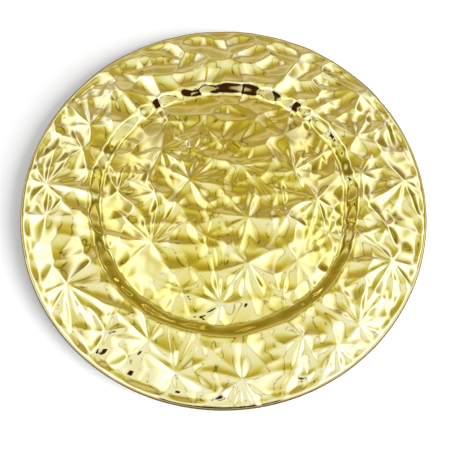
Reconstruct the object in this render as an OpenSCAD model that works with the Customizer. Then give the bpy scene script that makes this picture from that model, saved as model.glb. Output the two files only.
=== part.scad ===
// Round charger plate, pressed from thin sheet with a crumpled-foil relief.
// The origin is on the table under the middle of the plate, +Z is up, lengths are in millimetres.

/* [Plate] */
// Diameter over the rolled edge
plate_d = 330; // [290:1:370]
// Diameter where the rim meets the wall of the well
well_d = 228; // [216:1:250]
// Diameter of the floor of the well
floor_d = 206; // [160:1:214]
// Rise of the wall from the floor to the rim
wall_rise = 7; // [4:0.5:12]
// Rise of the rim from the well to the rolled edge
rim_rise = 6.5; // [3:0.5:12]
// Thickness of the sheet
sheet_t = 1; // [0.6:0.1:1.6]

/* [Relief] */
// Height of the relief, from the tip of a star to the bottom of a deep fold
relief_depth = 2.6; // [1:0.1:3.6]
// Distance over which the folds of a star run down from its tip
star_reach = 30; // [22:1:40]
// Width over which the relief dies away towards the rolled edge
edge_band = 5; // [4:0.5:16]
// Width over which the relief grows weaker at the foot and the top of the wall
wall_blend = 6; // [4:0.5:14]

/* [Rolled edge] */
// Diameter of the wire in the rolled edge
wire_d = 3; // [2:0.1:4]
// Play between the wire and the sheet rolled over it
wire_play = 0.2; // [0.2:0.05:0.4]

/* [Bumper pads] */
// Diameter of a pad where it is stuck to the plate
pad_d = 10; // [6:0.5:14]
// Diameter of a pad where it stands on the table
pad_foot_d = 6; // [3:0.5:8]
// Height of a pad
pad_h = 3; // [2:0.1:5]
// Diameter of the circle on which the pads lie
pad_ring_d = 172; // [120:1:180]

/* [Hidden] */
pad_count = 4;
pad_names = [for (i = [1:pad_count]) str("bumper_pad_", i)];

gold = "#D2BC66";
steel = "#B9BCC0";
clear_rubber = "#DDE3E6";

// Rings of points in the sheet: ring k of the disc has six times k points
floor_rings = 13;
wall_rings = 4;
rim_rings = 7;
disc_rings = floor_rings + wall_rings + rim_rings;
edge_points = 6 * disc_rings;
over_steps = 3;
under_steps = 4;
curl_steps = over_steps + under_steps;
wire_facets = 96;

plate_r = plate_d / 2;
well_r = well_d / 2;
floor_r = floor_d / 2;
half_t = sheet_t / 2;

// The middle of the sheet lies half its thickness above the pads
floor_z = pad_h + half_t;
well_z = floor_z + wall_rise;
edge_z = well_z + rim_rise;

// The sheet rolls over the wire, in line with the slope of the rim where the roll starts
curl_r = wire_d / 2 + wire_play + half_t;
curl_axis_r = plate_r - curl_r - half_t;
rim_slope = atan2(rim_rise, curl_axis_r - well_r);
curl_start = 90 + rim_slope;
curl_end = -180;
curl_z = edge_z - curl_r * sin(curl_start);
rim_end_r = curl_axis_r + curl_r * cos(curl_start);

// A pad is stuck on a plain spot, one step of the sheet's rings wider than the pad all round
ring_pitch = floor_r / floor_rings;
seat_r = pad_d / 2 + ring_pitch;
seat_blend = ring_pitch;

// The stars of the relief. In each row: how far right and how far up from the middle
// the tip lies, as shares of the plate's radius, the number of folds that run out from it,
// the way that its fan of close folds opens, in degrees, and how far the tip lies below
// the highest, as a share of the relief's height
star_shares = [
    [-0.70, 0.40, 6, 100, 0], [-0.72, 0.26, 5, 170, 0.12], [-0.885, 0.04, 8, 55, 0],
    [-0.87, -0.12, 6, 90, 0.08], [-0.77, -0.30, 4, 220, 0.65], [-0.73, -0.46, 8, 310, 0],
    [-0.52, -0.67, 5, 130, 0.27], [-0.34, -0.70, 6, 140, 0.13], [-0.22, -0.84, 6, 60, 0.23],
    [0.09, -0.87, 8, 270, 0], [0.35, -0.69, 5, 250, 0.13], [0.50, -0.73, 6, 280, 0.04],
    [0.36, -0.87, 4, 100, 0.46], [0.61, -0.64, 8, 45, 0.08], [0.80, -0.35, 8, 235, 0],
    [0.79, -0.17, 6, 200, 0.23], [0.90, 0.07, 7, 250, 0.08], [0.71, 0.11, 5, 20, 0.27],
    [0.69, 0.33, 6, 60, 0.08], [0.86, 0.38, 5, 160, 0.35], [0.51, 0.57, 8, 70, 0],
    [0.73, 0.57, 5, 310, 0.23], [0.33, 0.74, 6, 90, 0], [0.42, 0.86, 4, 230, 0.46],
    [0.07, 0.87, 7, 290, 0.13], [-0.15, 0.77, 8, 75, 0], [-0.33, 0.87, 5, 280, 0.35],
    [-0.44, 0.72, 6, 170, 0.04], [-0.62, 0.66, 6, 310, 0.19], [-0.58, 0.54, 5, 120, 0.27],
    [-0.32, 0.28, 7, 320, 0], [-0.17, 0.27, 6, 70, 0.23], [-0.17, 0.11, 8, 50, 0],
    [-0.35, 0.03, 6, 190, 0.23], [-0.54, 0.05, 6, 40, 0.13], [-0.47, 0.22, 5, 280, 0.46],
    [-0.36, -0.23, 9, 85, 0], [-0.20, -0.45, 6, 200, 0.35], [-0.02, -0.53, 7, 130, 0],
    [0.12, -0.34, 7, 260, 0], [0.13, -0.10, 6, 170, 0.08], [-0.08, -0.20, 5, 30, 0.46],
    [0.32, -0.10, 6, 60, 0.23], [0.36, -0.32, 6, 300, 0.13], [0.28, -0.50, 5, 80, 0.27],
    [0.48, 0.00, 8, 225, 0], [0.36, 0.17, 7, 60, 0.08], [0.10, 0.19, 6, 340, 0.19],
    [0.33, 0.37, 7, 80, 0.08], [0.52, 0.25, 5, 180, 0.46], [-0.10, 0.42, 5, 260, 0.35],
    [-0.30, 0.45, 5, 300, 0.27], [0.02, 0.57, 7, 265, 0.08], [0.54, -0.18, 5, 100, 0.35],
];
// Fall of a fold over the star's reach, as a share of the relief's height
fold_share = 0.52;
// Difference in fall from fold to fold, as a share of the fall
uneven_share = 0.35;
// Turns that spread that difference over the folds of a star and over the stars
fold_turn = 137.5;
star_turn = 97;
// Crowding of a star's folds into its fan, as a share of an even spread
fan_share = 0.6;
// Depth of a leaf as wide as the star's reach, as a share of the relief's height
leaf_share = 2;
// Depth that no leaf passes, as a share of the relief's height
deepest_share = 0.85;
// Rounding of a fold's crest and of the valley between two stars, as shares of the relief's height
crest_share = 0.12;
valley_share = 0.1;
// Rounding of a tip, as a share of the star's reach
tip_share = 0.023;
// Height of the tips above the plain sheet, as a share of the relief's height
level_share = 0.42;
// Relief that is left on the wall of the well, as a share of the relief's height
wall_relief_share = 0.65;

// Passes smoothly from 0 at a to 1 at b
function ease(a, b, x) =
    let (t = max(0, min(1, (x - a) / (b - a))))
    t * t * (3 - 2 * t);

// Rate at which one fold of a star falls
function fold_rate(no, fold) = 1 + uneven_share * sin(fold_turn * fold + star_turn * no);

// Drop below the tip of one star at a place: along the folds, and into the leaf between two folds
function star_drop(no, spot) =
    let (
        star = star_shares[no],
        folds = star[2],
        away = spot - plate_r * [star[0], star[1]],
        reach = norm([away[0], away[1], tip_share * star_reach]),
        turn = atan2(away[1], away[0]) - star[3] + 2 * 360,
        passed = folds * (turn / 360 + fan_share * sin(turn) / (2 * PI)),
        fold = floor(passed),
        across = passed - fold,
        first_rate = fold_rate(no, fold % folds),
        next_rate = fold_rate(no, (fold + 1) % folds),
        fall = fold_share * (first_rate + (next_rate - first_rate) * across) * reach / star_reach,
        leaf_w = 2 * PI * reach / (folds * (1 + fan_share * cos(turn))),
        open = leaf_share * leaf_w / star_reach,
        scoop = open / (1 + open / deepest_share) * (1 - pow(2 * across - 1, 2))
    )
    relief_depth * (star[4] + fall + norm([scoop, crest_share]) - crest_share);

// Height of the relief at a place, where the highest of the stars counts
function relief(spot) =
    let (
        valley = valley_share * relief_depth,
        heaps = [for (no = [0:len(star_shares) - 1]) exp(-star_drop(no, spot) / valley)],
        heap = heaps * [for (h = heaps) 1]
    )
    level_share * relief_depth + valley * ln(heap);

// Share of the relief that a place keeps: less on the wall, none on the edge and the pads' seats
function kept(spot) =
    let (
        r = norm(spot),
        on_floor = 1 - ease(floor_r - wall_blend, floor_r, r),
        on_rim = ease(well_r, well_r + wall_blend, r),
        off_edge = 1 - ease(rim_end_r - edge_band, rim_end_r, r),
        off_seats = min([for (i = [1:pad_count]) ease(seat_r, seat_r + seat_blend, norm(spot - pad_spot(i)))])
    )
    max(on_floor, on_rim, wall_relief_share) * off_edge * off_seats;

// Place of a pad in plan
function pad_turn(i) = 360 * (i - 1 / 2) / pad_count;
function pad_spot(i) = pad_ring_d / 2 * [cos(pad_turn(i)), sin(pad_turn(i))];

// Middle of the sheet at ring k: radius, height, and the way its upper face looks
function section(k) =
    k <= floor_rings ? [floor_r * k / floor_rings, floor_z, 90]
    : k <= floor_rings + wall_rings ? wall_section((k - floor_rings) / wall_rings)
    : k <= disc_rings ? rim_section((k - floor_rings - wall_rings) / rim_rings)
    : curl_section(k - disc_rings);

// The wall leaves the floor level and meets the rim at the rim's own slope
function wall_section(t) =
    let (
        run = well_r - floor_r,
        lift = run * tan(rim_slope),
        z = wall_rise * t * t * (3 - 2 * t) + lift * t * t * (t - 1),
        climb = 6 * wall_rise * t * (1 - t) + lift * t * (3 * t - 2)
    )
    [floor_r + run * t, floor_z + z, 90 + atan2(climb, run)];

function rim_section(t) =
    [well_r + (rim_end_r - well_r) * t, well_z + (edge_z - well_z) * t, curl_start];

// The roll runs over the wire to its outermost point, and from there back under it
function curl_section(step) =
    let (
        turn = step <= over_steps ? curl_start * (1 - step / over_steps)
            : curl_end * (step - over_steps) / under_steps
    )
    [curl_axis_r + curl_r * cos(turn), curl_z + curl_r * sin(turn), turn];

// Points of the sheet at ring k, on the upper face for side 1 and the lower face for side -1
function ring_size(k) = k == 0 ? 1 : 6 * min(k, disc_rings);
function ring_points(k, side) =
    let (
        at = section(k),
        out = at[0] + side * half_t * cos(at[2]),
        up = at[1] + side * half_t * sin(at[2])
    )
    [
        for (j = [0:ring_size(k) - 1])
        let (
            turn = 360 * j / ring_size(k),
            way = [cos(turn), sin(turn)],
            spot = at[0] * way,
            keep = kept(spot),
            raised = k > disc_rings || keep == 0 ? 0 : keep * relief(spot)
        )
        [out * way[0], out * way[1], up + raised]
    ];

// Number of the sheet's point j in ring k, counted on one face
function ring_start(k) =
    k == 0 ? 0
    : k <= disc_rings ? 1 + 3 * k * (k - 1)
    : 1 + 3 * disc_rings * (disc_rings + 1) + (k - disc_rings - 1) * edge_points;
function point_no(k, j) = ring_start(k) + j % ring_size(k);

// Triangles of one face, seen anticlockwise from above the plate
function disc_faces() = [
    for (k = [0:disc_rings - 1])
    for (sixth = [0:5])
    for (j = [0:k])
    let (inner = point_no(k, sixth * k + j), outer = sixth * (k + 1) + j)
    each concat(
        [[inner, point_no(k + 1, outer), point_no(k + 1, outer + 1)]],
        j < k ? [[inner, point_no(k + 1, outer + 1), point_no(k, sixth * k + j + 1)]] : []
    )
];
function curl_faces() = [
    for (k = [disc_rings:disc_rings + curl_steps - 1])
    for (j = [0:edge_points - 1])
    each [
        [point_no(k, j), point_no(k + 1, j), point_no(k + 1, j + 1)],
        [point_no(k, j), point_no(k + 1, j + 1), point_no(k, j + 1)]
    ]
];

// The sheet, with its relief pressed through both faces and its edge rolled over the wire
module pressed_plate() {
    last = disc_rings + curl_steps;
    upper = [for (k = [0:last]) each ring_points(k, 1)];
    lower = [for (k = [0:last]) each ring_points(k, -1)];
    count = len(upper);
    skin = concat(disc_faces(), curl_faces());
    upper_faces = [for (f = skin) [f[0], f[2], f[1]]];
    lower_faces = [for (f = skin) [f[0] + count, f[1] + count, f[2] + count]];
    end_faces = [
        for (j = [0:edge_points - 1])
        let (a = point_no(last, j), b = point_no(last, j + 1))
        each [[a, b, b + count], [a, b + count, a + count]]
    ];
    color(gold)
        polyhedron(concat(upper, lower), concat(upper_faces, lower_faces, end_faces));
}

// The wire that stiffens the rolled edge
module rim_wire() {
    color(steel)
        rotate_extrude($fn = edge_points)
            translate([curl_axis_r, curl_z])
                circle(d = wire_d, $fn = wire_facets);
}

// A clear domed pad, cut off flat at its foot and at its stuck-on face
module bumper_pad(i) {
    dome_z = (pow(pad_d / 2, 2) + pow(pad_h, 2) - pow(pad_foot_d / 2, 2)) / (2 * pad_h);
    dome_r = norm([pad_foot_d / 2, dome_z]);
    color(clear_rubber)
        translate(pad_spot(i))
            rotate_extrude($fn = wire_facets)
                intersection() {
                    translate([0, dome_z])
                        circle(r = dome_r, $fn = wire_facets);
                    square([pad_d / 2, pad_h]);
                }
}

pressed_plate();
rim_wire();
for (i = [1:pad_count])
    bumper_pad(i);
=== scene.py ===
import math
import bpy
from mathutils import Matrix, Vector


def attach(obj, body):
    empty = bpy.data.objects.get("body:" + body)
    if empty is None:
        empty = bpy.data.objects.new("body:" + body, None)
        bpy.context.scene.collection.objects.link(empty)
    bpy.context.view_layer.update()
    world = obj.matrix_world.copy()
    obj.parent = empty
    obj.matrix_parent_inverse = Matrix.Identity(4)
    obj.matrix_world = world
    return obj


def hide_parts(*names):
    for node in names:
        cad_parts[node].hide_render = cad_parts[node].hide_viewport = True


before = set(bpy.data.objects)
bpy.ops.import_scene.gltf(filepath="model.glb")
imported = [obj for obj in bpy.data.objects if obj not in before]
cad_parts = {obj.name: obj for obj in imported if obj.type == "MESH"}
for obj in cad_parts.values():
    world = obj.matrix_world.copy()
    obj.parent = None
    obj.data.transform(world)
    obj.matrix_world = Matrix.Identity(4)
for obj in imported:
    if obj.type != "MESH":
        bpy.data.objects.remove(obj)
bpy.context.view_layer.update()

scene = bpy.context.scene
scene.view_settings.view_transform = "Standard"
mm = 0.001
white = "#FFFFFF"

# kinds of node that are used over and over
noiseKind = "ShaderNodeTexNoise"
randomKind = "FunctionNodeRandomValue"
rampKind = "ShaderNodeValToRGB"
sampleKind = "GeometryNodeSampleIndex"
smooth = "SMOOTHSTEP"


def linear(hexColour):  # sRGB hex to linear
    parts = [int(hexColour[i:i + 2], 16) / 255 for i in (1, 3, 5)]
    return [p / 12.92 if p <= 0.04045 else ((p + 0.055) / 1.055) ** 2.4 for p in parts] + [1.0]


def addNode(tree, kind, ins=(), out=0, **settings):  # a node with its settings and links; gives one output
    node = tree.nodes.new(kind)
    for name, value in settings.items():
        setattr(node, name, value)
    for socket, value in ins.items() if isinstance(ins, dict) else enumerate(ins):
        if isinstance(value, bpy.types.NodeSocket):
            tree.links.new(value, node.inputs[socket])
        else:
            node.inputs[socket].default_value = value
    return node.outputs[out] if len(node.outputs) else None


def calc(tree, operation, *values, **settings):  # one step of arithmetic
    return addNode(tree, "ShaderNodeMath", values, operation=operation, **settings)


def vectorCalc(tree, operation, *values, out=0):  # one step of arithmetic on vectors
    return addNode(tree, "ShaderNodeVectorMath", values, out, operation=operation)


def scaled(tree, value, factor):
    return addNode(tree, "ShaderNodeVectorMath", {0: value, "Scale": factor}, operation="SCALE")


def lengthOf(tree, value):
    return vectorCalc(tree, "LENGTH", value, out="Value")


def splitXyz(tree, value):
    return addNode(tree, "ShaderNodeSeparateXYZ", [value]).node.outputs


def joinXyz(tree, x, y, z=0.0):
    return addNode(tree, "ShaderNodeCombineXYZ", [x, y, z])


def mapRange(tree, value, low, high, toLow=0.0, toHigh=1.0, easing="LINEAR", clamp=True):
    ins = [value, low, high, toLow, toHigh]
    return addNode(tree, "ShaderNodeMapRange", ins, interpolation_type=easing, clamp=clamp)


def mixColour(tree, share, low, high):
    return addNode(tree, "ShaderNodeMix", {0: share, 6: low, 7: high}, out=2, data_type="RGBA")


def store(tree, geometry, name, value, kind="FLOAT"):  # keeps a value at each point under a name
    ins = {"Geometry": geometry, "Name": name, "Value": value}
    return addNode(tree, "GeometryNodeStoreNamedAttribute", ins, data_type=kind, domain="POINT")


def read(tree, name, kind="FLOAT"):  # reads a value that was kept
    return addNode(tree, "GeometryNodeInputNamedAttribute", [name], data_type=kind)


def colourRamp(tree, value, stops):  # a ramp with stops, each a place and a hex colour
    output = addNode(tree, rampKind, [value])
    elements = output.node.color_ramp.elements
    while len(elements) > 1:
        elements.remove(elements[-1])
    for i, (place, colour) in enumerate(stops):
        stop = elements[0] if i == 0 else elements.new(place)
        stop.position = place
        stop.color = linear(colour)
    return output


def newMaterial(name):
    material = bpy.data.materials.new(name)
    material.use_nodes = True
    return material, material.node_tree, material.node_tree.nodes["Principled BSDF"]


def socketKinds(sizes):  # whole numbers are counts and seeds
    return [(name, "Int" if isinstance(value, int) else "Float") for name, value in sizes.items()]


def newTree(name, sockets, made="Geometry"):  # a geometry tree with named inputs
    tree = bpy.data.node_groups.new(name, "GeometryNodeTree")
    for label, kind in sockets:
        tree.interface.new_socket(label, in_out="INPUT", socket_type="NodeSocket" + kind)
    tree.interface.new_socket(made, in_out="OUTPUT", socket_type="NodeSocketGeometry")
    return tree, tree.nodes.new("NodeGroupInput").outputs, tree.nodes.new("NodeGroupOutput").inputs


def runTree(name, mesh, tree, values):  # the tree's result on the mesh, as a plain mesh object at the origin
    piece = bpy.data.objects.new(name, mesh)
    scene.collection.objects.link(piece)
    modifier = piece.modifiers.new(tree.name, "NODES")
    modifier.node_group = tree
    for item in tree.interface.items_tree:
        if item.in_out == "INPUT" and item.name in values:
            modifier[item.identifier] = values[item.name]
    graph = bpy.context.evaluated_depsgraph_get()
    evaluated = piece.evaluated_get(graph)
    made = bpy.data.meshes.new_from_object(evaluated, preserve_all_data_layers=True, depsgraph=graph)
    piece.modifiers.remove(modifier)
    piece.data = made
    made.name = name
    return piece


def stagePlane(name, half, height, material, facesUp=True):  # a square of the set, not of the object
    corners = [(-half, -half, height), (half, -half, height), (half, half, height), (-half, half, height)]
    mesh = bpy.data.meshes.new(name)
    mesh.from_pydata(corners if facesUp else corners[::-1], [], [(0, 1, 2, 3)])
    mesh.materials.append(material)
    plane = bpy.data.objects.new(name, mesh)
    scene.collection.objects.link(plane)
    return plane


# Camera: above and a little in front of the plate, looking down; places in millimetres
cameraLook = {"target": (1.2, -27, 15), "tiltDeg": 19.15, "distance": 365, "near": 10,
              "lens": 36.48, "sensor": 36}
tilt = math.radians(cameraLook["tiltDeg"])
backwards = Vector((0, -math.sin(tilt), math.cos(tilt)))
camera = bpy.data.objects.new("camera", bpy.data.cameras.new("camera"))
scene.collection.objects.link(camera)
camera.location = (Vector(cameraLook["target"]) + backwards * cameraLook["distance"]) * mm
camera.rotation_euler = (tilt, 0, 0)
camera.data.sensor_width = cameraLook["sensor"]
camera.data.lens = cameraLook["lens"]
camera.data.clip_start = cameraLook["near"] * mm
scene.camera = camera
print("camera placed")

# Bright pressed aluminium under a gold-tinted lacquer: a near mirror with a faint orange peel. The tint is
# pale gold on the crests, a painted highlight, and deeper where the lacquer pooled in the folds and in the
# well, which is partly painted shade in the folds
goldLook = {
    "wellCrestHighlight": "#F5EDB6", "wellFoldPoolAndShade": "#EDDC76", "rimCrestHighlight": "#F7EEB6", "rimFoldPoolAndShade": "#F2E59C",
    "wellEndsMm": 110, "rimStartsMm": 120, "coat": 0.5, "coatRoughness": 0.03,
    "cloudMm": 22, "cloudLow": 0.35, "cloudHigh": 0.7, "roughness": (0.030, 0.065),
    "peelMm": 1.6, "peelDeepMm": 0.2, "peelStrength": 0.012,
}
goldSheet, tree, shader = newMaterial("pressed aluminium, gold lacquered")
shader.inputs["Metallic"].default_value = 1
shader.inputs["Coat Weight"].default_value = goldLook["coat"]
shader.inputs["Coat Roughness"].default_value = goldLook["coatRoughness"]
coords = addNode(tree, "ShaderNodeTexCoord", out="Object")
foldHeight = addNode(tree, "ShaderNodeAttribute", attribute_name="foldHeight", out="Fac")
# the dip is uneven, in patches
cloud = addNode(tree, noiseKind, {"Vector": coords, "Scale": 1 / (goldLook["cloudMm"] * mm), "Detail": 3})
# painted highlight on the crests and painted shade in the folds: the tint follows the relief height, in
# patches
crestHighlightShare = calc(tree, "ADD", foldHeight, calc(tree, "ADD", cloud, -0.5), use_clamp=True)
fromMiddle = lengthOf(tree, vectorCalc(tree, "MULTIPLY", coords, (1, 1, 0)))
# the rim's folds are paler than the well's, a painted sheen over the rim
onRim = mapRange(tree, fromMiddle, goldLook["wellEndsMm"] * mm, goldLook["rimStartsMm"] * mm)
wellTint = mixColour(tree, crestHighlightShare, linear(goldLook["wellFoldPoolAndShade"]), linear(goldLook["wellCrestHighlight"]))
rimTint = mixColour(tree, crestHighlightShare, linear(goldLook["rimFoldPoolAndShade"]), linear(goldLook["rimCrestHighlight"]))
tree.links.new(mixColour(tree, onRim, wellTint, rimTint), shader.inputs["Base Color"])
smear = mapRange(tree, cloud, goldLook["cloudLow"], goldLook["cloudHigh"], *goldLook["roughness"])
tree.links.new(smear, shader.inputs["Roughness"])
peel = addNode(tree, noiseKind, {"Vector": coords, "Scale": 1 / (goldLook["peelMm"] * mm), "Detail": 1})
bumpIns = {"Strength": goldLook["peelStrength"], "Distance": goldLook["peelDeepMm"] * mm, "Height": peel}
tree.links.new(addNode(tree, "ShaderNodeBump", bumpIns), shader.inputs["Normal"])

# Sizes of the pressed plate in millimetres, with factors among them; the pairs From and To, and
# Wall Front and Wall Back, are places along y
plateSizes = {
    # plain form, as the frame has it, with the rim a little lower so that its folds stay inside
    "Floor Radius": 103.0, "Well Radius": 114.0, "Plate Radius": 165.0, "Floor Height": 3.5,
    "Wall Rise": 7.0, "Rim Rise": 5.9, "Sheet Thickness": 1.0, "Roll Radius": 2.2,
    # relief near the wall, the edge and the pads
    "Wall Relief Front": 0.5, "Wall Relief Back": 1.2, "Wall Front": -100.0, "Wall Back": -20.0,
    "Wall Blend": 4.0, "Edge Blend": 5.0, "Edge Relief": 0.3, "Edge Lowest": -0.4, "Lowest": -6.0,
    "Highest": 17.2, "Highest Softness": 0.8,
    "Pad Spot": 60.811, "Seat Radius": 5.2, "Seat Blend": 3.0, "Seat Relief": 0.25, "Seat Widening": 5.0,
    # how far the folds and the wall wander
    "Wobble": 12.0, "Wobble Size": 70.0, "Wall Wobble": 0.8, "Wander Near": 8.0, "Wander Far": 22.0,
    # stars, which fade at the far back
    "Level": 0.6, "Fade From": 50.0, "Fade To": 120.0, "Stars At Back": 0.3,
    # petals between the stars
    "Petal Pitch": 18.0, "Petal Jitter": 0.45, "Petal Limit": 3.0, "Petal Mean": 0.80,
    "Weak Sink": 0.45, "Tip Reach": 6.0, "Petal Clearing": 20.0, "Petals At Tips": 0.1,
    "Petals From": -110.0, "Petals To": 140.0, "Petals In Front": 0.70, "Petals At Back": 1.3,
    "Far Rim From": 95.0, "Far Rim To": 120.0, "Far Rim": 1.5,
    "Turn From": 20.0, "Turn To": 60.0, "Petal Turn In Front": 1.6, "Seed": 21,
    # heights at which the tint is all fold, pooled lacquer and painted shade, and all crest, painted
    # highlight
    "Fold Height": -1.3, "Crest Height": 1.5,
}
wobbleLook = {"Detail": 2.0, "Roughness": 0.45}
petalFacts = {"folds": (3, 5), "opens": (-0.7, 0.7), "sink": (0.0, 0.8)}  # lowest and highest of each draw
blankRings = 150  # rings of triangles in the upper face; the lower face has half as many
ringGain = 6  # points that each ring has more than the one inside it
rollRows = {"over": 10, "under": 6}

# The stars of the relief: right and up from the middle in shares of the plate's radius,
# folds, the way the fan opens in degrees, and how far the tip lies below the highest in millimetres
starTips = [
    (-0.70, 0.40, 6, 100, 0), (-0.72, 0.26, 5, 170, 0.3), (-0.885, 0.04, 8, 55, 0),
    (-0.87, -0.12, 6, 90, 0.2), (-0.77, -0.30, 4, 220, 1.7), (-0.73, -0.46, 8, 310, 0),
    (-0.52, -0.67, 5, 130, 0.7), (-0.34, -0.70, 6, 140, 0.35), (-0.22, -0.84, 6, 60, 0.6),
    (0.09, -0.87, 8, 270, 0), (0.35, -0.69, 5, 250, 0.35), (0.50, -0.73, 6, 280, 0.1),
    (0.36, -0.87, 4, 100, 1.2), (0.61, -0.64, 8, 45, 0.2), (0.80, -0.35, 8, 235, 0),
    (0.79, -0.17, 6, 200, 0.6), (0.90, 0.07, 7, 250, 0.2), (0.71, 0.11, 5, 20, 0.7),
    (0.69, 0.33, 6, 60, 0.2), (0.86, 0.38, 5, 160, 0.9), (0.51, 0.57, 5, 70, 0.5),
    (0.73, 0.57, 4, 310, 0.6), (0.33, 0.74, 4, 90, 1.3), (0.42, 0.86, 3, 230, 1.3),
    (0.07, 0.87, 4, 290, 1.3), (-0.15, 0.77, 4, 75, 1.3), (-0.33, 0.87, 3, 280, 1.3),
    (-0.44, 0.72, 4, 170, 1.2), (-0.62, 0.66, 4, 310, 0.6), (-0.58, 0.54, 4, 120, 0.6),
    (-0.32, 0.28, 7, 320, 0), (-0.17, 0.27, 6, 70, 0.6), (-0.17, 0.11, 8, 50, 0),
    (-0.35, 0.03, 6, 190, 0.6), (-0.54, 0.05, 6, 40, 0.35), (-0.47, 0.22, 5, 280, 1.2),
    (-0.36, -0.23, 9, 85, 0), (-0.20, -0.45, 6, 200, 0.9), (-0.02, -0.53, 7, 130, 0),
    (0.12, -0.34, 7, 260, 0), (0.13, -0.10, 6, 170, 0.2), (-0.08, -0.20, 5, 30, 1.2),
    (0.32, -0.10, 6, 60, 0.6), (0.36, -0.32, 6, 300, 0.35), (0.28, -0.50, 5, 80, 0.7),
    (0.48, 0.00, 8, 225, 0), (0.36, 0.17, 7, 60, 0.2), (0.10, 0.19, 6, 340, 0.5),
    (0.33, 0.37, 5, 80, 0.2), (0.52, 0.25, 5, 180, 1.2), (-0.10, 0.42, 4, 260, 1.0),
    (-0.30, 0.45, 4, 300, 0.6), (0.02, 0.57, 4, 265, 1.2), (0.54, -0.18, 5, 100, 0.9),
]

# How a star falls away from its tip, and how the smaller petals between the stars do from their middles
bigStars = {"Fall": 0.045, "Scoop Slope": 0.175, "Deepest": 2.2, "Crowding": 0.6, "Unevenness": 0.35,
            "Crest": 0.32, "Tip Round": 0.7, "Stretch": 1.0, "Bowl": 0.0, "Softness": 0.25}
petals = {"Fall": 0.0, "Scoop Slope": 0.0, "Deepest": 1.0, "Crowding": 0.0, "Unevenness": 0.0,
          "Crest": 0.1, "Tip Round": 0.7, "Stretch": 1.7, "Bowl": 0.0072, "Softness": 0.06}
foldPhase, starPhase = 2.4, 1.7  # steps in radians that make each fold and each star uneven in its own way
emptyHeap = 1e-37  # next to nothing, so that the deepest place still has a logarithm


def leafDrop(tree, given, facts, turnNo, away):  # how far a star's surface lies below the highest tip
    # a star may be drawn out along the way that it opens
    angle = calc(tree, "MULTIPLY", facts["opens"], -1.0)
    lined = addNode(tree, "ShaderNodeVectorRotate", {"Vector": away, "Angle": angle}, rotation_type="Z_AXIS")
    lined = vectorCalc(tree, "MULTIPLY", lined, joinXyz(tree, 1.0, given["Stretch"]))
    apart = splitXyz(tree, lined)
    far = lengthOf(tree, joinXyz(tree, apart[0], apart[1], given["Tip Round"]))  # a tip is not a needle
    turn = calc(tree, "ARCTAN2", apart[1], apart[0])
    # folds crowd towards the way that the fan opens
    leaned = calc(tree, "MULTIPLY_ADD", calc(tree, "SINE", turn), given["Crowding"], turn)
    leaf = calc(tree, "DIVIDE", calc(tree, "MULTIPLY", leaned, facts["folds"]), 2 * math.pi)
    crowd = calc(tree, "MULTIPLY_ADD", calc(tree, "COSINE", turn), given["Crowding"], 1.0)
    width = calc(tree, "DIVIDE", 2 * math.pi, calc(tree, "MULTIPLY", crowd, facts["folds"]))
    across = calc(tree, "FRACT", leaf)
    leafNo = calc(tree, "FLOOR", leaf)
    # each fold falls at its own rate, so the leaf between two of them leans
    rates = []
    for step in (0, 1):
        fold = calc(tree, "FLOORED_MODULO", calc(tree, "ADD", leafNo, step), facts["folds"])
        phase = calc(tree, "MULTIPLY_ADD", fold, foldPhase, calc(tree, "MULTIPLY", turnNo, starPhase))
        rates.append(calc(tree, "MULTIPLY_ADD", calc(tree, "SINE", phase), given["Unevenness"], 1.0))
    rate = mapRange(tree, across, 0.0, 1.0, *rates)
    fall = calc(tree, "MULTIPLY", calc(tree, "MULTIPLY", far, given["Fall"]), rate)
    # a leaf is a scoop as deep as its width and slope give, up to the deepest
    deep = calc(tree, "MULTIPLY", calc(tree, "MULTIPLY", far, width), given["Scoop Slope"])
    held = calc(tree, "ADD", calc(tree, "DIVIDE", deep, given["Deepest"]), 1.0)
    deep = calc(tree, "DIVIDE", deep, held)
    bow = calc(tree, "MULTIPLY_ADD", across, 2.0, -1.0)
    bow = calc(tree, "SUBTRACT", 1.0, calc(tree, "MULTIPLY", bow, bow))
    scoop = joinXyz(tree, calc(tree, "MULTIPLY", deep, bow), given["Crest"])
    scoop = calc(tree, "SUBTRACT", lengthOf(tree, scoop), given["Crest"])  # rounds the crest
    bowl = calc(tree, "MULTIPLY_ADD", calc(tree, "MULTIPLY", far, far), given["Bowl"], facts["sink"])
    return calc(tree, "ADD", calc(tree, "ADD", fall, scoop), bowl)


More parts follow.
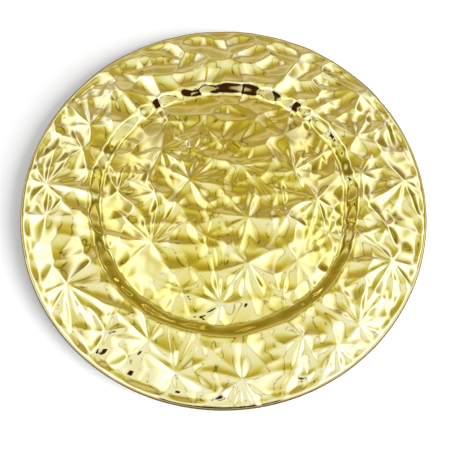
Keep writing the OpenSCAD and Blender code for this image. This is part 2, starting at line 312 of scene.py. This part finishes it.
def starLayer():  # heaps stars on the sheet
    sockets = [("Sheet", "Geometry"), ("Stars", "Geometry")] + socketKinds(bigStars)
    tree, given, result = newTree("starLayer", sockets, "Sheet")
    count = addNode(tree, "GeometryNodeAttributeDomainSize", [given["Stars"]], component="MESH")
    start = tree.nodes.new("GeometryNodeRepeatInput")
    end = tree.nodes.new("GeometryNodeRepeatOutput")
    start.pair_with_output(end)
    tree.links.new(count, start.inputs["Iterations"])
    tree.links.new(store(tree, given["Sheet"], "heap", emptyHeap), start.inputs["Geometry"])
    turnNo = start.outputs["Iteration"]
    place = addNode(tree, "GeometryNodeInputPosition")
    tipIns = {"Geometry": given["Stars"], "Value": place, "Index": turnNo}
    tip = addNode(tree, sampleKind, tipIns, data_type="FLOAT_VECTOR", domain="POINT")
    facts = {}
    for fact in petalFacts:
        factIns = {"Geometry": given["Stars"], "Value": read(tree, fact), "Index": turnNo}
        facts[fact] = addNode(tree, sampleKind, factIns, data_type="FLOAT", domain="POINT")
    away = vectorCalc(tree, "SUBTRACT", read(tree, "bent", "FLOAT_VECTOR"), tip)
    drop = leafDrop(tree, given, facts, turnNo, away)
    # the highest star counts, with soft valleys between stars
    depth = calc(tree, "DIVIDE", calc(tree, "MULTIPLY", drop, -1.0), given["Softness"])
    heap = calc(tree, "ADD", read(tree, "heap"), calc(tree, "EXPONENT", depth))
    tree.links.new(store(tree, start.outputs["Geometry"], "heap", heap), end.inputs["Geometry"])
    height = calc(tree, "LOGARITHM", read(tree, "heap"), math.e)
    height = calc(tree, "MULTIPLY", height, given["Softness"])
    tree.links.new(store(tree, end.outputs["Geometry"], "layer", height), result["Sheet"])
    return tree


def petalGrid(tree, given):  # the petals' middles, on a jittered grid, each with its own facts
    span = calc(tree, "MULTIPLY", given["Plate Radius"], 2.0)
    rows = calc(tree, "DIVIDE", span, given["Petal Pitch"])
    grid = addNode(tree, "GeometryNodeMeshGrid", [span, span, rows, rows])
    jitter = calc(tree, "MULTIPLY", given["Petal Pitch"], given["Petal Jitter"])
    back = calc(tree, "MULTIPLY", jitter, -1.0)
    shiftIns = {0: joinXyz(tree, back, back), 1: joinXyz(tree, jitter, jitter), 8: given["Seed"]}
    shift = addNode(tree, randomKind, shiftIns, data_type="FLOAT_VECTOR")
    grid = addNode(tree, "GeometryNodeSetPosition", {"Geometry": grid, "Offset": shift})
    for seedStep, (fact, (low, high)) in enumerate(petalFacts.items(), 1):
        seed = calc(tree, "ADD", given["Seed"], seedStep)
        if fact == "folds":
            value = addNode(tree, randomKind, {4: low, 5: high, 8: seed}, out=2, data_type="INT")
        else:
            value = addNode(tree, randomKind, {2: low, 3: high, 8: seed}, out=1, data_type="FLOAT")
        if fact == "opens":  # towards the front the petals lie more every way
            gridUp = splitXyz(tree, addNode(tree, "GeometryNodeInputPosition"))[1]
            turned = mapRange(tree, gridUp, given["Turn From"], given["Turn To"],
                              given["Petal Turn In Front"], 1.0)
            value = calc(tree, "MULTIPLY", value, turned)
        grid = store(tree, grid, fact, value)
    return grid


def foldRelief(tree, given, position):  # the sheet with its stars and petals heaped, and their height
    # the folds wander a little
    wobbleIns = {"Vector": position, "Scale": calc(tree, "DIVIDE", 1.0, given["Wobble Size"]), **wobbleLook}
    wobble = addNode(tree, noiseKind, wobbleIns, out="Color")
    wobble = vectorCalc(tree, "SUBTRACT", wobble, (0.5, 0.5, 0.5))
    wobble = vectorCalc(tree, "MULTIPLY", wobble, joinXyz(tree, given["Wobble"], given["Wobble"]))
    bent = vectorCalc(tree, "ADD", position, wobble)
    sheet = store(tree, given["Geometry"], "bent", bent, "FLOAT_VECTOR")
    layer = starLayer()
    tipIns = {"Object": given["Stars"]}
    tips = addNode(tree, "GeometryNodeObjectInfo", tipIns, "Geometry", transform_space="ORIGINAL")
    sheet = addNode(tree, "GeometryNodeGroup", {"Sheet": sheet, "Stars": tips, **bigStars}, node_tree=layer)
    sheet = store(tree, sheet, "starred", read(tree, "layer"))
    grid = petalGrid(tree, given)
    sheet = addNode(tree, "GeometryNodeGroup", {"Sheet": sheet, "Stars": grid, **petals}, node_tree=layer)
    # petals meet in ridges, held down where they would stand tall, and keep off the tips of the strong stars
    ridge = calc(tree, "EXPONENT", calc(tree, "DIVIDE", read(tree, "layer"), given["Petal Limit"]))
    ridge = calc(tree, "MULTIPLY", calc(tree, "SUBTRACT", 1.0, ridge), given["Petal Limit"])
    ridge = calc(tree, "SUBTRACT", ridge, given["Petal Mean"])
    weak = calc(tree, "GREATER_THAN", read(tree, "sink"), given["Weak Sink"])
    weakIns = {"Geometry": tips, "Selection": weak}
    strong = addNode(tree, "GeometryNodeDeleteGeometry", weakIns, domain="POINT")
    nearIns = {0: strong, "Sample Position": read(tree, "bent", "FLOAT_VECTOR")}
    toTip = addNode(tree, "GeometryNodeProximity", nearIns, out="Distance", target_element="POINTS")
    offTip = mapRange(tree, toTip, given["Tip Reach"], given["Petal Clearing"],
                      given["Petals At Tips"], 1.0, smooth)
    # petals are stronger towards the back and most of all on the far rim, where the stars fade
    up = splitXyz(tree, position)[1]
    backwards = mapRange(tree, up, given["Petals From"], given["Petals To"],
                         given["Petals In Front"], given["Petals At Back"])
    farRim = mapRange(tree, up, given["Far Rim From"], given["Far Rim To"], 1.0, given["Far Rim"])
    petalShare = calc(tree, "MULTIPLY", offTip, calc(tree, "MULTIPLY", backwards, farRim))
    starShare = mapRange(tree, up, given["Fade From"], given["Fade To"], 1.0, given["Stars At Back"], smooth)
    stars = calc(tree, "MULTIPLY", calc(tree, "ADD", read(tree, "starred"), given["Level"]), starShare)
    return sheet, calc(tree, "MULTIPLY_ADD", ridge, petalShare, stars)


def middleHeight(tree, given, radius, slope):  # the plain plate's height: floor, wall and rim
    # the wall wanders with the folds, the floor and the rim do not
    bentRadius = lengthOf(tree, read(tree, "bent", "FLOAT_VECTOR"))
    midWall = calc(tree, "MULTIPLY", calc(tree, "ADD", given["Floor Radius"], given["Well Radius"]), 0.5)
    offWall = calc(tree, "ABSOLUTE", calc(tree, "SUBTRACT", radius, midWall))
    wander = mapRange(tree, offWall, given["Wander Near"], given["Wander Far"],
                      given["Wall Wobble"], 0.0, smooth)
    wallRadius = mapRange(tree, wander, 0.0, 1.0, radius, bentRadius, clamp=False)
    # an eased climb that leaves the wall's head at the rim's slope
    climb = mapRange(tree, wallRadius, given["Floor Radius"], given["Well Radius"])
    eased = mapRange(tree, wallRadius, given["Floor Radius"], given["Well Radius"],
                     0.0, given["Wall Rise"], smooth)
    lift = calc(tree, "MULTIPLY", calc(tree, "SUBTRACT", given["Well Radius"], given["Floor Radius"]), slope)
    swing = calc(tree, "MULTIPLY", calc(tree, "MULTIPLY", climb, climb), calc(tree, "SUBTRACT", climb, 1.0))
    wall = calc(tree, "MULTIPLY_ADD", swing, lift, eased)
    pastWell = calc(tree, "MAXIMUM", calc(tree, "SUBTRACT", wallRadius, given["Well Radius"]), 0.0)
    return calc(tree, "ADD", calc(tree, "MULTIPLY_ADD", pastWell, slope, wall), given["Floor Height"])


def reliefShare(tree, given, position, radius, edgeStart, rimEnd, side):  # how much relief a place keeps
    footEnd = calc(tree, "ADD", given["Floor Radius"], given["Wall Blend"])
    headStart = calc(tree, "SUBTRACT", given["Well Radius"], given["Wall Blend"])
    headEnd = calc(tree, "ADD", given["Well Radius"], given["Wall Blend"])
    onFloor = mapRange(tree, radius, given["Floor Radius"], footEnd, 1.0, 0.0, smooth)
    onRim = mapRange(tree, radius, headStart, headEnd, 0.0, 1.0, smooth)
    up = splitXyz(tree, position)[1]
    onWall = mapRange(tree, up, given["Wall Front"], given["Wall Back"],
                      given["Wall Relief Front"], given["Wall Relief Back"])
    share = mapRange(tree, calc(tree, "MAXIMUM", onFloor, onRim), 0.0, 1.0, onWall, 1.0)
    offEdge = mapRange(tree, radius, edgeStart, rimEnd, 1.0, given["Edge Relief"], smooth)
    share = calc(tree, "MULTIPLY", share, offEdge)
    # under the pads the lower face is plain, and the upper face nearly so
    spot = joinXyz(tree, given["Pad Spot"], given["Pad Spot"])
    toSpot = vectorCalc(tree, "DISTANCE", vectorCalc(tree, "ABSOLUTE", position), spot, out="Value")
    least = mapRange(tree, side, -1.0, 1.0, 0.0, given["Seat Relief"])
    widen = mapRange(tree, side, -1.0, 1.0, 1.0, given["Seat Widening"])
    seatEnd = calc(tree, "MULTIPLY_ADD", given["Seat Blend"], widen, given["Seat Radius"])
    offSeat = mapRange(tree, toSpot, given["Seat Radius"], seatEnd, least, 1.0, smooth)
    return calc(tree, "MULTIPLY", share, offSeat)


def pressTree():  # presses the flat blank: well, rim, relief and rolled edge
    sockets = [("Geometry", "Geometry"), ("Stars", "Object")]
    sockets += socketKinds(plateSizes) + [("Finish", "Material")]
    tree, given, result = newTree("pressPlate", sockets)
    position = addNode(tree, "GeometryNodeInputPosition")
    side = read(tree, "side")
    roll = read(tree, "roll")
    sheet, pressed = foldRelief(tree, given, position)
    # section of the plain plate
    radius = lengthOf(tree, position)
    halfSheet = calc(tree, "MULTIPLY", given["Sheet Thickness"], 0.5)
    rollAxis = calc(tree, "SUBTRACT", given["Plate Radius"], given["Roll Radius"])
    rollAxis = calc(tree, "SUBTRACT", rollAxis, halfSheet)
    slope = calc(tree, "DIVIDE", given["Rim Rise"], calc(tree, "SUBTRACT", rollAxis, given["Well Radius"]))
    lean = calc(tree, "ARCTANGENT", slope)
    rimEnd = calc(tree, "MULTIPLY", calc(tree, "SINE", lean), given["Roll Radius"])
    rimEnd = calc(tree, "SUBTRACT", rollAxis, rimEnd)
    edgeStart = calc(tree, "SUBTRACT", rimEnd, given["Edge Blend"])
    middle = middleHeight(tree, given, radius, slope)
    share = reliefShare(tree, given, position, radius, edgeStart, rimEnd, side)
    raised = calc(tree, "MULTIPLY", pressed, share)
    # the highest folds near the edge are held down, and the edge stays round the wire
    headroom = calc(tree, "SUBTRACT", calc(tree, "SUBTRACT", given["Highest"], halfSheet), middle)
    raised = calc(tree, "SMOOTH_MIN", raised, headroom, given["Highest Softness"])
    lowest = mapRange(tree, radius, edgeStart, rimEnd, given["Lowest"], given["Edge Lowest"])
    raised = calc(tree, "MAXIMUM", raised, lowest)
    # the sheet's own thickness, square to the rim
    reach = calc(tree, "MULTIPLY", side, halfSheet)
    onSlope = mapRange(tree, radius, given["Well Radius"], rimEnd, 0.0, calc(tree, "MULTIPLY", lean, -1.0))
    faceOut = calc(tree, "MULTIPLY_ADD", calc(tree, "SINE", onSlope), reach, radius)
    faceUp = calc(tree, "ADD", middle, raised)
    faceUp = calc(tree, "MULTIPLY_ADD", calc(tree, "COSINE", onSlope), reach, faceUp)
    # the edge rolls over the wire
    rollTurn = mapRange(tree, roll, 0.0, 1.0, calc(tree, "ADD", lean, math.pi / 2), -math.pi)
    rollRadius = calc(tree, "ADD", given["Roll Radius"], reach)
    wellHeight = calc(tree, "ADD", given["Floor Height"], given["Wall Rise"])
    rimHeight = calc(tree, "ADD", wellHeight, given["Rim Rise"])
    rollHeight = calc(tree, "MULTIPLY", calc(tree, "COSINE", lean), given["Roll Radius"])
    rollHeight = calc(tree, "ADD", calc(tree, "SUBTRACT", rimHeight, rollHeight), raised)
    rollOut = calc(tree, "MULTIPLY_ADD", calc(tree, "COSINE", rollTurn), rollRadius, rollAxis)
    rollUp = calc(tree, "MULTIPLY_ADD", calc(tree, "SINE", rollTurn), rollRadius, rollHeight)
    rolled = calc(tree, "GREATER_THAN", roll, 0.0)
    outFinal = mapRange(tree, rolled, 0.0, 1.0, faceOut, rollOut)
    upFinal = mapRange(tree, rolled, 0.0, 1.0, faceUp, rollUp)
    formed = scaled(tree, vectorCalc(tree, "NORMALIZE", position), outFinal)
    formed = vectorCalc(tree, "ADD", formed, joinXyz(tree, 0.0, 0.0, upFinal))
    formed = scaled(tree, formed, mm)
    foldHeight = mapRange(tree, raised, given["Fold Height"], given["Crest Height"])
    sheet = store(tree, sheet, "foldHeight", foldHeight)
    sheet = addNode(tree, "GeometryNodeSetPosition", {"Geometry": sheet, "Position": formed})
    for used in ("bent", "heap", "layer", "starred", "side", "roll"):
        sheet = addNode(tree, "GeometryNodeRemoveAttribute", {"Geometry": sheet, "Name": used})
    sheet = addNode(tree, "GeometryNodeSetShadeSmooth", {"Geometry": sheet})
    sheet = addNode(tree, "GeometryNodeRealizeInstances", {"Geometry": sheet})
    sheet = addNode(tree, "GeometryNodeSetMaterial", {"Geometry": sheet, "Material": given["Finish"]})
    tree.links.new(sheet, result["Geometry"])
    return tree


def ringedSkin(starts, count, steps):  # triangles between growing rings, then between rows of equal rings
    skin = []
    for k in range(count):
        inRing, outRing = ringGain * k or 1, ringGain * (k + 1)
        for sector in range(ringGain):
            for j in range(k + 1):
                inner = starts[k] + (sector * k + j) % inRing
                outer = sector * (k + 1) + j
                first, second = (starts[k + 1] + n % outRing for n in (outer, outer + 1))
                skin.append((inner, first, second))
                if j < k:
                    skin.append((inner, second, starts[k] + (sector * k + j + 1) % inRing))
    rim = ringGain * count
    for k in range(count, count + steps):
        for j in range(rim):
            a, b = starts[k] + j, starts[k] + (j + 1) % rim
            c, d = starts[k + 1] + j, starts[k + 1] + (j + 1) % rim
            skin += [(a, c, d), (a, d, b)]
    return skin


def flatBlank(rings, rows, rimEnd):  # the sheet before pressing: two faces, and rows at the edge to be rolled
    points, sides, rolls, faces, edges = [], [], [], [], []
    for side, count, steps in ((1, rings, rows["over"]), (-1, rings // 2, rows["under"])):
        starts = []
        for k in range(count + 1 + steps):
            starts.append(len(points))
            ringCount = ringGain * min(k, count) or 1
            reach = rimEnd * min(k, count) / count
            for j in range(ringCount):
                turn = 2 * math.pi * j / ringCount
                points.append((reach * math.cos(turn), reach * math.sin(turn), 0))
                sides.append(side)
                rolls.append(max(0, k - count) / steps)
        faces += [f if side > 0 else f[::-1] for f in ringedSkin(starts, count, steps)]
        edges.append(starts[-1])
    # the cut edge joins two points of the upper face to one of the lower
    fine, coarse = ringGain * rings, ringGain * (rings // 2)
    for j in range(coarse):
        a, b, c = (edges[0] + n % fine for n in (2 * j, 2 * j + 1, 2 * j + 2))
        d, e = (edges[1] + n % coarse for n in (j, j + 1))
        faces += [(b, a, d), (c, b, e), (b, d, e)]
    mesh = bpy.data.meshes.new("flatBlank")
    mesh.from_pydata(points, [], faces)
    for name, values in (("side", sides), ("roll", rolls)):
        mesh.attributes.new(name, "FLOAT", "POINT").data.foreach_set("value", values)
    return mesh


plateRadius = plateSizes["Plate Radius"]
starMesh = bpy.data.meshes.new("starTips")
starMesh.from_pydata([(s[0] * plateRadius, s[1] * plateRadius, 0) for s in starTips], [], [])
starFacts = {"folds": [s[2] for s in starTips], "opens": [math.radians(s[3]) for s in starTips],
             "sink": [s[4] for s in starTips]}
for fact, values in starFacts.items():
    starMesh.attributes.new(fact, "FLOAT", "POINT").data.foreach_set("value", values)
starObject = bpy.data.objects.new("starTips", starMesh)
edgeAxis = plateRadius - plateSizes["Roll Radius"] - plateSizes["Sheet Thickness"] / 2
rimLean = math.atan2(plateSizes["Rim Rise"], edgeAxis - plateSizes["Well Radius"])
blank = flatBlank(blankRings, rollRows, edgeAxis - plateSizes["Roll Radius"] * math.sin(rimLean))
plateInputs = {**plateSizes, "Stars": starObject, "Finish": goldSheet}
pressed = runTree("pressedPlate", blank, pressTree(), plateInputs)
bpy.data.objects.remove(starObject)
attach(pressed, "root")
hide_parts("pressed_plate")
print("plate pressed:", len(pressed.data.polygons), "faces")

# Drawn steel wire: bright, with fine lines along it from the die
wireLook = {"light": "#C6C8CB", "dark": "#8E9196", "lineMm": 0.25, "lineDrawnMm": 4,
            "linesLow": 0.3, "linesHigh": 0.7, "roughness": (0.22, 0.38)}
drawnWire, tree, shader = newMaterial("steel wire, drawn bright")
shader.inputs["Metallic"].default_value = 1
coords = addNode(tree, "ShaderNodeTexCoord", out="Object")
parts = splitXyz(tree, coords)
fromMiddle = lengthOf(tree, joinXyz(tree, parts[0], parts[1]))
turned = calc(tree, "MULTIPLY", calc(tree, "ARCTAN2", parts[1], parts[0]), wireLook["lineDrawnMm"] * mm)
drawn = joinXyz(tree, fromMiddle, parts[2], turned)
lines = addNode(tree, noiseKind, {"Vector": drawn, "Scale": 1 / (wireLook["lineMm"] * mm), "Detail": 2})
steel = mixColour(tree, lines, linear(wireLook["dark"]), linear(wireLook["light"]))
tree.links.new(steel, shader.inputs["Base Color"])
matt = mapRange(tree, lines, wireLook["linesLow"], wireLook["linesHigh"], *wireLook["roughness"])
tree.links.new(matt, shader.inputs["Roughness"])
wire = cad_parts["rim_wire"]
wire.data.materials.clear()
wire.data.materials.append(drawnWire)
print("wire finished")

# Cast clear polyurethane: glassy but soft, faintly milky, with a little dust on the dome
padLook = {"clear": "#E3EAEC", "dust": "#C9CDCC", "ior": 1.5, "transmission": 0.75,
           "dustMm": 1.2, "dustLow": 0.4, "dustHigh": 0.7, "roughness": (0.10, 0.30)}
clearPad, tree, shader = newMaterial("polyurethane, cast clear")
shader.inputs["IOR"].default_value = padLook["ior"]
shader.inputs["Transmission Weight"].default_value = padLook["transmission"]
coords = addNode(tree, "ShaderNodeTexCoord", out="Object")
dust = addNode(tree, noiseKind, {"Vector": coords, "Scale": 1 / (padLook["dustMm"] * mm), "Detail": 4})
dusty = mixColour(tree, dust, linear(padLook["clear"]), linear(padLook["dust"]))
tree.links.new(dusty, shader.inputs["Base Color"])
matt = mapRange(tree, dust, padLook["dustLow"], padLook["dustHigh"], *padLook["roughness"])
tree.links.new(matt, shader.inputs["Roughness"])

padSizes = {"Pad Diameter": 10.0, "Foot Diameter": 6.0, "Pad Height": 3.0, "Ring Diameter": 172.0,
            "Pads": 4, "Edge Round": 0.25, "Eased Share": 0.12, "Sides": 48, "Rows": 10, "Face Rings": 4}


def padTree():  # one domed pad, stood on each point of a circle
    tree, given, result = newTree("standPads", socketKinds(padSizes) + [("Finish", "Material")])
    half = calc(tree, "MULTIPLY", given["Pad Diameter"], 0.5)
    foot = calc(tree, "MULTIPLY", given["Foot Diameter"], 0.5)
    tall = given["Pad Height"]
    # the dome is part of a ball that passes through the foot's edge and the stuck face's edge
    footSquare = calc(tree, "MULTIPLY", foot, foot)
    squares = calc(tree, "MULTIPLY_ADD", half, half, calc(tree, "MULTIPLY", tall, tall))
    squares = calc(tree, "SUBTRACT", squares, footSquare)
    domeUp = calc(tree, "DIVIDE", squares, calc(tree, "MULTIPLY", tall, 2.0))
    domeSquare = calc(tree, "MULTIPLY_ADD", domeUp, domeUp, footSquare)
    padIns = {"Vertices": given["Sides"], "Side Segments": given["Rows"],
              "Fill Segments": given["Face Rings"], "Radius": half, "Depth": tall}
    pad = addNode(tree, "GeometryNodeMeshCylinder", padIns, fill_type="TRIANGLE_FAN")
    parts = splitXyz(tree, addNode(tree, "GeometryNodeInputPosition"))
    up = calc(tree, "MULTIPLY_ADD", tall, 0.5, parts[2])
    below = calc(tree, "SUBTRACT", domeUp, up)
    width = calc(tree, "SQRT", calc(tree, "SUBTRACT", domeSquare, calc(tree, "MULTIPLY", below, below)))
    # the edges at the foot and at the stuck face are eased
    toEnd = calc(tree, "MINIMUM", up, calc(tree, "SUBTRACT", tall, up))
    easedOver = calc(tree, "MULTIPLY", tall, given["Eased Share"])
    eased = mapRange(tree, toEnd, 0.0, easedOver, given["Edge Round"], 0.0, smooth)
    width = calc(tree, "DIVIDE", calc(tree, "SUBTRACT", width, eased), half)
    domed = joinXyz(tree, *(calc(tree, "MULTIPLY", parts[i], width) for i in (0, 1)), up)
    domed = scaled(tree, domed, mm)
    pad = addNode(tree, "GeometryNodeSetPosition", {"Geometry": pad, "Position": domed})
    pad = addNode(tree, "GeometryNodeSetShadeSmooth", {"Geometry": pad})
    ringRadius = calc(tree, "MULTIPLY", given["Ring Diameter"], 0.5 * mm)
    ring = addNode(tree, "GeometryNodeMeshCircle", {"Vertices": given["Pads"], "Radius": ringRadius})
    turn = joinXyz(tree, 0.0, 0.0, calc(tree, "DIVIDE", math.pi, given["Pads"]))
    ring = addNode(tree, "GeometryNodeTransform", {"Geometry": ring, "Rotation": turn})
    stood = addNode(tree, "GeometryNodeInstanceOnPoints", {"Points": ring, "Instance": pad})
    stood = addNode(tree, "GeometryNodeRealizeInstances", {"Geometry": stood})
    stood = addNode(tree, "GeometryNodeSetMaterial", {"Geometry": stood, "Material": given["Finish"]})
    tree.links.new(stood, result["Geometry"])
    return tree


pads = runTree("bumperPads", bpy.data.meshes.new("noPads"), padTree(), {**padSizes, "Finish": clearPad})
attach(pads, "root")
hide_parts("bumper_pad_1", "bumper_pad_2", "bumper_pad_3", "bumper_pad_4")
print("pads stood:", len(pads.data.polygons), "faces")

# Plain white table: for the camera it is lifted to white, more so far off, and it keeps the plate's shadow;
# the plate mirrors it as dark tan, a painted shade that stands for the shaded table under and round the plate
tableLook = {"pale": ("#F2F2F2", "#F6F6F6"), "mirrored": "#5E4B26", "roughness": 0.7, "grainMm": 3,
             "lift": 0.14, "farLift": 0.62, "near": 0.3, "far": 0.9, "half": 3.0}
tableMaterial, tree, shader = newMaterial("table, matt white laminate")
shader.inputs["Roughness"].default_value = tableLook["roughness"]
coords = addNode(tree, "ShaderNodeTexCoord", out="Object")
seen = addNode(tree, "ShaderNodeLightPath").node.outputs
grain = addNode(tree, noiseKind, {"Vector": coords, "Scale": 1 / (tableLook["grainMm"] * mm), "Detail": 2})
pale = mixColour(tree, grain, *(linear(tone) for tone in tableLook["pale"]))
# in reflections the table turns dark tan: painted shade for the shaded table under and round the plate
tone = mixColour(tree, seen["Is Glossy Ray"], pale, linear(tableLook["mirrored"]))
tree.links.new(tone, shader.inputs["Base Color"])
lift = mapRange(tree, lengthOf(tree, coords), tableLook["near"], tableLook["far"],
                tableLook["lift"], tableLook["farLift"], smooth)
shader.inputs["Emission Color"].default_value = linear(white)
tree.links.new(calc(tree, "MULTIPLY", seen["Is Camera Ray"], lift), shader.inputs["Emission Strength"])
table = stagePlane("table", tableLook["half"], 0.0, tableMaterial)

# Scrim: over the plate hangs a tan cloth, pale towards the front, with a soft box in a dark frame to each
# side and dark gaps where the camera, its stands and small flags at the sides are; places in metres
scrimLook = {
    "height": 0.6, "half": 1.3,
    # the cloth's tones from front to back, and what they are multiplied by
    "along": [(-1.3, "#AEAA90"), (-0.95, "#B8B5A4"), (-0.75, "#C9CAC7"), (-0.5, "#DBDFF2"), (-0.2, "#E1E6FF"),
              (-0.05, "#E0E4F3"), (0.05, "#DBDEDD"), (0.12, "#CFCEA7"), (0.20, "#BEB669"), (0.27, "#AFA448"),
              (0.34, "#A39550"), (0.45, "#A0915E"), (0.58, "#AB9E79"), (0.72, "#C4BCA4"), (0.86, "#BDB297"),
              (1.0, "#ADA279"), (1.15, "#A79C6D"), (1.3, "#A29765")],
    "alongGlow": 1.3,
    # how it dims and brightens again towards the sides, but for its front
    "aside": [(0.0, "#ADADAD"), (0.40, "#ADADAD"), (0.5, "#939185"), (0.62, "#797761"), (0.78, "#797763"),
              (0.95, "#BCC2DB"), (1.3, "#CFD8FF")],
    "asideGlow": 2.4, "evenFrom": 0.1, "evenTo": -0.25,
    "boxInner": 0.10, "boxOuter": 0.45, "boxBack": 0.47, "boxLean": 0.6, "boxFront": -0.5, "boxSoft": 0.20,
    "boxColour": "#B5C4FF", "boxGlow": 1.6,
    # the frame is patchy, from thin to wide, and darker at its back
    "frameThin": 0.0005, "frameWide": 0.026, "patch": 0.2, "patchLow": 0.42, "patchHigh": 0.62,
    "frameFront": "#B3AD89", "frameBack": "#6C6738", "frameTurns": 0.08, "frameTurned": 0.20,
    # gaps: place to the right and to the back, and half sizes
    "gaps": [(0.0, -0.22, 0.04, 0.04), (-0.02, -0.66, 0.28, 0.35), (-0.42, -0.60, 0.04, 0.12),
             (-0.55, -0.48, 0.035, 0.10), (-0.68, -0.40, 0.05, 0.06), (-0.80, -0.25, 0.04, 0.10),
             (0.45, -0.55, 0.04, 0.10), (0.62, -0.42, 0.03, 0.06), (-1.12, -0.50, 0.13, 0.06),
             (-1.10, -0.20, 0.13, 0.05), (-1.12, 0.12, 0.13, 0.05), (-1.08, 0.42, 0.12, 0.06),
             (-1.15, 0.68, 0.12, 0.06), (1.12, 0.30, 0.12, 0.05)],
    "gapColour": "#3F2214", "gapDark": 0.8, "gapEnds": 1.1,
}
scrimHalf = scrimLook["half"]
scrimMaterial, tree, shader = newMaterial("scrim, tan cloth with two soft boxes")
tree.nodes.remove(shader)
coords = addNode(tree, "ShaderNodeTexCoord", out="Object")
parts = splitXyz(tree, coords)
behind = parts["Y"]
aside = calc(tree, "ABSOLUTE", parts["X"])
alongStops = [((place + scrimHalf) / (2 * scrimHalf), tone) for place, tone in scrimLook["along"]]
along = colourRamp(tree, mapRange(tree, behind, -scrimHalf, scrimHalf), alongStops)
along = scaled(tree, along, scrimLook["alongGlow"])
asideStops = [(place / scrimHalf, tone) for place, tone in scrimLook["aside"]]
dimmed = colourRamp(tree, mapRange(tree, aside, 0.0, scrimHalf), asideStops)
dimmed = scaled(tree, dimmed, scrimLook["asideGlow"])
inFront = mapRange(tree, behind, scrimLook["evenFrom"], scrimLook["evenTo"])
dimmed = mixColour(tree, inFront, dimmed, linear(white))
cloth = vectorCalc(tree, "MULTIPLY", along, dimmed)
# how far a place lies inside the nearer soft box
inner = calc(tree, "SUBTRACT", aside, scrimLook["boxInner"])
outer = calc(tree, "SUBTRACT", scrimLook["boxOuter"], aside)
boxBack = calc(tree, "MULTIPLY_ADD", inner, scrimLook["boxLean"], scrimLook["boxBack"])
boxBack = calc(tree, "SUBTRACT", boxBack, behind)
boxFront = calc(tree, "SUBTRACT", behind, scrimLook["boxFront"])
inside = calc(tree, "MINIMUM", calc(tree, "MINIMUM", inner, outer), calc(tree, "MINIMUM", boxBack, boxFront))
patchy = addNode(tree, noiseKind, {"Vector": coords, "Scale": 1 / scrimLook["patch"], "Detail": 1.0})
frameWide = mapRange(tree, patchy, scrimLook["patchLow"], scrimLook["patchHigh"],
                     scrimLook["frameThin"], scrimLook["frameWide"])
offFrame = mapRange(tree, calc(tree, "ABSOLUTE", inside), 0.0, frameWide, 0.0, 1.0, smooth)
frameBack = mapRange(tree, behind, scrimLook["frameTurns"], scrimLook["frameTurned"])
frameTone = mixColour(tree, frameBack, linear(scrimLook["frameFront"]), linear(scrimLook["frameBack"]))
cloth = mixColour(tree, offFrame, frameTone, cloth)
glow = mapRange(tree, inside, 0.0, scrimLook["boxSoft"], 0.0, scrimLook["boxGlow"], smooth)
cloth = vectorCalc(tree, "ADD", cloth, scaled(tree, linear(scrimLook["boxColour"])[:3], glow))
for x, y, halfX, halfY in scrimLook["gaps"]:
    offGap = vectorCalc(tree, "SUBTRACT", coords, (x, y, scrimLook["height"]))
    offGap = lengthOf(tree, vectorCalc(tree, "MULTIPLY", offGap, (1 / halfX, 1 / halfY, 1.0)))
    offGap = mapRange(tree, offGap, scrimLook["gapDark"], scrimLook["gapEnds"], 0.0, 1.0, smooth)
    cloth = mixColour(tree, offGap, linear(scrimLook["gapColour"]), cloth)
shine = addNode(tree, "ShaderNodeEmission", {"Color": cloth, "Strength": 1.0})
tree.links.new(shine, tree.nodes["Material Output"].inputs["Surface"])
scrim = stagePlane("scrim", scrimHalf, scrimLook["height"], scrimMaterial, facesUp=False)
scrim.visible_camera = scrim.visible_diffuse = scrim.visible_shadow = False  # only mirrored in the plate

# Beyond the scrim the plate mirrors a warm room, which changes from low to high and from front to back;
# the table and the camera see plain white
roomLook = {
    "frontLow": "#7C6E48", "frontHigh": "#BCB18B", "cornersLow": "#CEC8A6", "cornersHigh": "#CEC8A6",
    "sidesLow": "#F3F1CB", "sidesHigh": "#F3F1CB", "backLow": "#938027", "backHigh": "#B6AA73",
    "places": [(0.0, "front"), (0.03, "front"), (0.10, "corners"), (0.30, "corners"), (0.45, "sides"),
               (0.68, "sides"), (0.85, "back")],
    "low": 0.06, "high": 0.42, "fill": 0.465,
}
world = bpy.data.worlds.new("studio")
scene.world = world
world.use_nodes = True
tree = world.node_tree
tree.nodes.clear()
parts = splitXyz(tree, addNode(tree, "ShaderNodeTexCoord", out="Generated"))
frontToBack = calc(tree, "MULTIPLY_ADD", parts["Y"], 0.5, 0.5)
levels = []
for level in ("Low", "High"):
    stops = [(place, roomLook[side + level]) for place, side in roomLook["places"]]
    levels.append(colourRamp(tree, frontToBack, stops))
room = mixColour(tree, mapRange(tree, parts["Z"], roomLook["low"], roomLook["high"]), *levels)
mirrored = addNode(tree, "ShaderNodeBackground", {"Color": room, "Strength": 1.0})
seen = addNode(tree, "ShaderNodeLightPath").node.outputs
fill = calc(tree, "MULTIPLY_ADD", seen["Is Camera Ray"], 1 - roomLook["fill"], roomLook["fill"])
plain = addNode(tree, "ShaderNodeBackground", {"Color": linear(white), "Strength": fill})
surround = addNode(tree, "ShaderNodeMixShader", [seen["Is Glossy Ray"], plain, mirrored])
addNode(tree, "ShaderNodeOutputWorld", [surround])

# Key lamp on the right, which throws the soft shadow to the left
keyLook = {"place": (1.29, -0.72, 0.95), "size": 1.0, "watts": 45}
keyData = bpy.data.lights.new("keyLamp", "AREA")
keyData.size = keyLook["size"]
keyData.energy = keyLook["watts"]
keyLamp = bpy.data.objects.new("keyLamp", keyData)
scene.collection.objects.link(keyLamp)
keyLamp.location = keyLook["place"]
keyLamp.rotation_euler = (-Vector(keyLook["place"])).to_track_quat("-Z", "Y").to_euler()
keyLamp.visible_glossy = False
print("studio lit")
